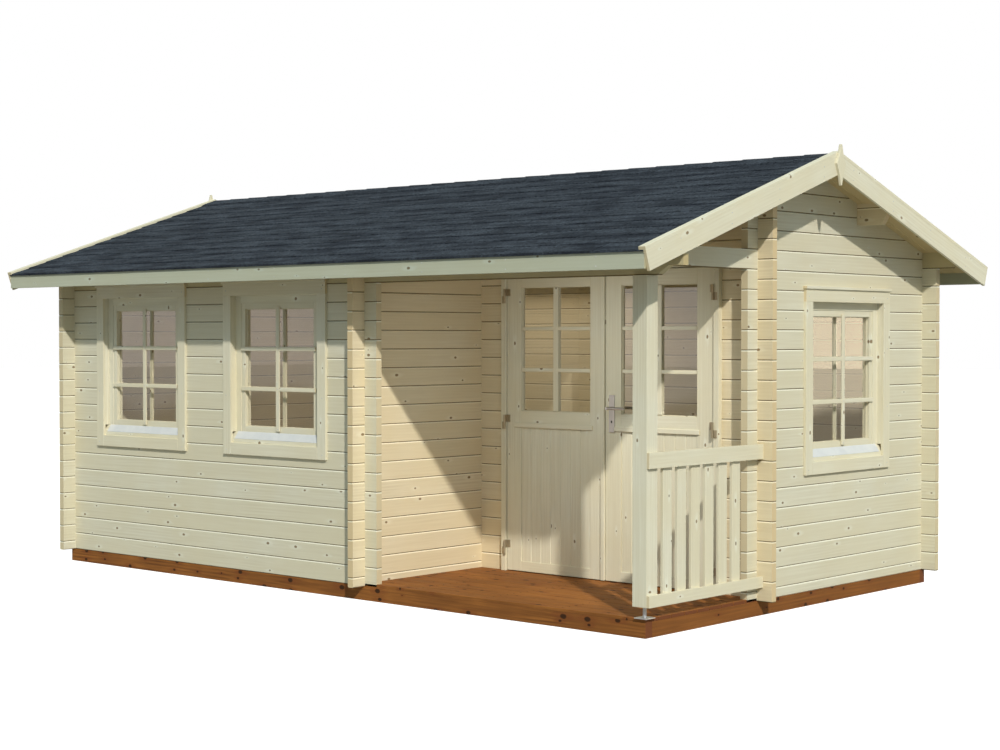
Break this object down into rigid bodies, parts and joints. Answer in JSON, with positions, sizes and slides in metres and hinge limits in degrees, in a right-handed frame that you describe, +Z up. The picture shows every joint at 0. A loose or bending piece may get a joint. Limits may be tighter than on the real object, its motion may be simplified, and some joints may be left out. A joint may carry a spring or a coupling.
{
  "type": "log cabin",
  "caption": "Wooden log cabin with a pitched shingle roof, three multi-pane windows and a glazed double door in a covered corner porch with a railing.",
  "frame": {"origin": "middle of the cabin's plan, on the ground under the bearers", "axes": "+X along the ridge towards the porch gable, +Y from the window eave to the plain back eave, +Z up"},
  "size_m": [5.643, 3.678, 2.69],
  "materials": {
    "log_wood": "planed pale spruce with knots, unfinished",
    "planed_wood": "planed pale spruce boards, unfinished",
    "board_wood": "tongued spruce boards, unfinished",
    "treated_wood": "red-brown impregnated timber",
    "shingle": "granulated dark blue-grey bitumen shingles",
    "clear_glass": "clear window glass",
    "zinc_steel": "zinc-plated steel",
    "handle_steel": "satin steel"
  },
  "bodies": {
    "cabin": {"long_bearers": "treated_wood", "cross_bearers": "treated_wood", "floor": "board_wood", "porch_deck": "treated_wood", "front_wall": "log_wood", "front_beam": "log_wood", "back_wall": "log_wood", "back_plate": "log_wood", "left_gable_wall": "log_wood", "right_gable_wall": "log_wood", "porch_side_wall": "log_wood", "porch_side_beam": "log_wood", "porch_wall_left": "log_wood", "porch_wall_right": "log_wood", "porch_wall_top": "log_wood", "purlins": "log_wood", "roof_boards_front": "board_wood", "roof_boards_back": "board_wood", "shingles_front": "shingle", "shingles_back": "shingle", "front_fascia": "planed_wood", "back_fascia": "planed_wood", "left_barge_front": "planed_wood", "left_barge_back": "planed_wood", "right_barge_front": "planed_wood", "right_barge_back": "planed_wood", "barge_caps_front": "planed_wood", "barge_caps_back": "planed_wood", "finials": "planed_wood", "post": "planed_wood", "post_foot": "zinc_steel", "top_rail": "planed_wood", "bottom_rail": "planed_wood", "balusters": "planed_wood", "front_window_left_frame": "planed_wood", "front_window_right_frame": "planed_wood", "gable_window_frame": "planed_wood", "window_sashes": "planed_wood", "window_glass": "clear_glass", "door_frame": "planed_wood", "frame_hinges": "zinc_steel"},
    "left_door": {"left_leaf": "planed_wood", "left_leaf_glass": "clear_glass", "left_leaf_hinges": "zinc_steel"},
    "right_door": {"right_leaf": "planed_wood", "right_leaf_glass": "clear_glass", "right_leaf_hinges": "zinc_steel", "handle": "handle_steel"}
  },
  "joints": [
    {"name": "left_door_hinge", "type": "hinge", "parent": "cabin", "child": "left_door", "pos_m": [0.6725, -0.489, 1], "axis": [0, 0, -1], "range_deg": [0, 100]},
    {"name": "right_door_hinge", "type": "hinge", "parent": "cabin", "child": "right_door", "pos_m": [2.2675, -0.489, 1], "axis": [0, 0, 1], "range_deg": [0, 100]}
  ]
}
